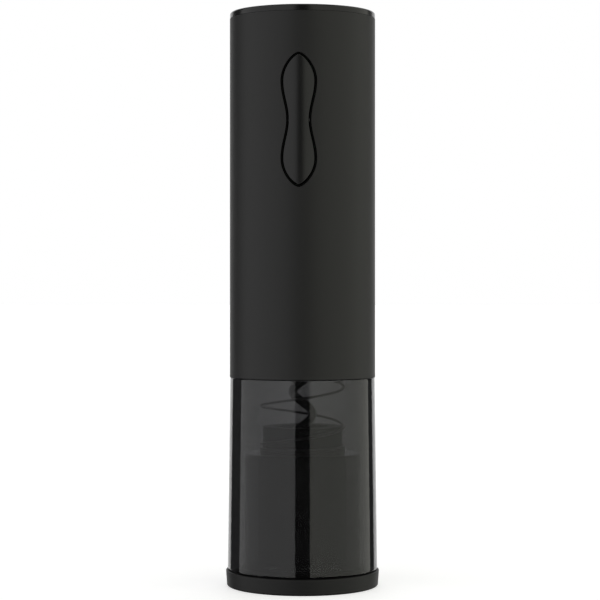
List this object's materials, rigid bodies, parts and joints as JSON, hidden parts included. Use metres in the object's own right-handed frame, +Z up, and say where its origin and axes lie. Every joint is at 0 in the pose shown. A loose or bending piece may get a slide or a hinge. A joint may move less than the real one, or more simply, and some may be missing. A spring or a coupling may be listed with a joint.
{
  "type": "electric wine opener",
  "caption": "Slim rechargeable wine opener with a smoked see-through tube round its worm, a figure-eight rocker switch and a free-standing foil-cutter base.",
  "frame": {"origin": "centre of the base ring's underside, on the axis of the body", "axes": "+Z up along the body, -Y towards the rocker switch, +X to the right seen from the front"},
  "size_m": [0.049, 0.049, 0.183],
  "materials": {
    "satin_grey": "satin",
    "gloss_black": "gloss",
    "satin_black": "satin",
    "smoked_clear": "gloss",
    "steel": "satin",
    "black_oxide": "satin",
    "dark_coating": "satin",
    "nylon": "matte",
    "moulding": "matte",
    "bronze": "satin",
    "zinc": "satin",
    "ferrite": "matte",
    "copper": "satin",
    "cell_wrap": "satin",
    "laminate": "satin",
    "switch_plastic": "satin",
    "soft_grip": "matte"
  },
  "bodies": {
    "foil_cutter": {"base_ring": "satin_black", "cutter_cup": "smoked_clear", "worm_guard": "satin_black", "wheel_retainer": "satin_black", "wheel_pin_1": "steel", "wheel_pin_2": "steel", "wheel_pin_3": "steel", "wheel_pin_4": "steel"},
    "cutting_wheel_1": {"cutting_wheel_1": "steel"},
    "cutting_wheel_2": {"cutting_wheel_2": "steel"},
    "cutting_wheel_3": {"cutting_wheel_3": "steel"},
    "cutting_wheel_4": {"cutting_wheel_4": "steel"},
    "opener": {"body_shell": "satin_grey", "top_cap": "gloss_black", "smoked_tube": "smoked_clear", "bottle_stop": "soft_grip", "bottle_spring": "steel", "cork_guide": "moulding", "frame_rear": "moulding", "frame_front": "moulding", "frame_screw_1": "steel", "frame_screw_2": "steel", "switch_bezel": "gloss_black", "rocker_pivot_pin": "steel", "gearbox_housing": "moulding", "output_bush": "bronze", "motor_plate": "zinc", "motor_can": "zinc", "motor_end_cap": "moulding", "field_magnet_1": "ferrite", "field_magnet_2": "ferrite", "motor_terminal_1": "bronze", "motor_terminal_2": "bronze", "gearbox_screw_1": "steel", "gearbox_screw_2": "steel", "gearbox_screw_3": "steel", "motor_screw_1": "steel", "motor_screw_2": "steel", "battery_cell": "cell_wrap", "battery_contact_negative": "steel", "battery_contact_positive": "steel", "control_board": "laminate", "upper_tact_switch": "switch_plastic", "lower_tact_switch": "switch_plastic", "charge_board": "laminate", "usb_port": "steel"},
    "rocker": {"rocker_button": "satin_grey"},
    "worm_drive": {"worm": "dark_coating", "worm_hub": "black_oxide", "output_carrier": "zinc"},
    "intermediate_carrier": {"intermediate_carrier": "zinc"},
    "rotor": {"motor_pinion": "bronze", "motor_shaft": "steel", "motor_armature": "copper"},
    "second_stage_planet_1": {"second_stage_planet_1": "nylon"},
    "second_stage_planet_2": {"second_stage_planet_2": "nylon"},
    "second_stage_planet_3": {"second_stage_planet_3": "nylon"},
    "first_stage_planet_1": {"first_stage_planet_1": "nylon"},
    "first_stage_planet_2": {"first_stage_planet_2": "nylon"},
    "first_stage_planet_3": {"first_stage_planet_3": "nylon"}
  },
  "joints": [
    {"name": "opener_lift", "type": "slide", "parent": "foil_cutter", "child": "opener", "axis": [0, 0, 1], "range_m": [0, 0.06]},
    {"name": "rocker_tilt", "type": "hinge", "parent": "opener", "child": "rocker", "pos_m": [0, -0.0203, 0.1472], "axis": [1, 0, 0], "range_deg": [-2.6, 2.6], "stiffness_Nm_per_rad": 0.05},
    {"name": "worm_spin", "type": "hinge", "parent": "opener", "child": "worm_drive", "pos_m": [0, 0, 0.1], "axis": [0, 0, 1], "continuous": true},
    {"name": "intermediate_carrier_spin", "type": "hinge", "parent": "opener", "child": "intermediate_carrier", "pos_m": [0, 0, 0.112], "axis": [0, 0, 1], "continuous": true},
    {"name": "motor_spin", "type": "hinge", "parent": "opener", "child": "rotor", "pos_m": [0, 0, 0.128], "axis": [0, 0, 1], "continuous": true},
    {"name": "second_stage_planet_1_spin", "type": "hinge", "parent": "worm_drive", "child": "second_stage_planet_1", "pos_m": [0.0108, 0, 0.1083], "axis": [0, 0, 1], "continuous": true},
    {"name": "first_stage_planet_1_spin", "type": "hinge", "parent": "intermediate_carrier", "child": "first_stage_planet_1", "pos_m": [0.0108, 0, 0.11475], "axis": [0, 0, 1], "continuous": true},
    {"name": "second_stage_planet_2_spin", "type": "hinge", "parent": "worm_drive", "child": "second_stage_planet_2", "pos_m": [-0.0054, 0.00935, 0.1083], "axis": [0, 0, 1], "continuous": true},
    {"name": "first_stage_planet_2_spin", "type": "hinge", "parent": "intermediate_carrier", "child": "first_stage_planet_2", "pos_m": [-0.0054, 0.00935, 0.11475], "axis": [0, 0, 1], "continuous": true},
    {"name": "second_stage_planet_3_spin", "type": "hinge", "parent": "worm_drive", "child": "second_stage_planet_3", "pos_m": [-0.0054, -0.00935, 0.1083], "axis": [0, 0, 1], "continuous": true},
    {"name": "first_stage_planet_3_spin", "type": "hinge", "parent": "intermediate_carrier", "child": "first_stage_planet_3", "pos_m": [-0.0054, -0.00935, 0.11475], "axis": [0, 0, 1], "continuous": true},
    {"name": "cutting_wheel_1_spin", "type": "hinge", "parent": "foil_cutter", "child": "cutting_wheel_1", "pos_m": [0.01322, 0.01322, 0.0034], "axis": [0, 0, 1], "continuous": true},
    {"name": "cutting_wheel_2_spin", "type": "hinge", "parent": "foil_cutter", "child": "cutting_wheel_2", "pos_m": [-0.01322, 0.01322, 0.0034], "axis": [0, 0, 1], "continuous": true},
    {"name": "cutting_wheel_3_spin", "type": "hinge", "parent": "foil_cutter", "child": "cutting_wheel_3", "pos_m": [-0.01322, -0.01322, 0.0034], "axis": [0, 0, 1], "continuous": true},
    {"name": "cutting_wheel_4_spin", "type": "hinge", "parent": "foil_cutter", "child": "cutting_wheel_4", "pos_m": [0.01322, -0.01322, 0.0034], "axis": [0, 0, 1], "continuous": true}
  ],
  "couplings": [
    {"joint": "intermediate_carrier_spin", "follows": "worm_spin", "ratio": 4.5},
    {"joint": "motor_spin", "follows": "worm_spin", "ratio": 20.25},
    {"joint": "second_stage_planet_1_spin", "follows": "worm_spin", "ratio": -2.8},
    {"joint": "first_stage_planet_1_spin", "follows": "worm_spin", "ratio": -12.6},
    {"joint": "second_stage_planet_2_spin", "follows": "worm_spin", "ratio": -2.8},
    {"joint": "first_stage_planet_2_spin", "follows": "worm_spin", "ratio": -12.6},
    {"joint": "second_stage_planet_3_spin", "follows": "worm_spin", "ratio": -2.8},
    {"joint": "first_stage_planet_3_spin", "follows": "worm_spin", "ratio": -12.6}
  ]
}
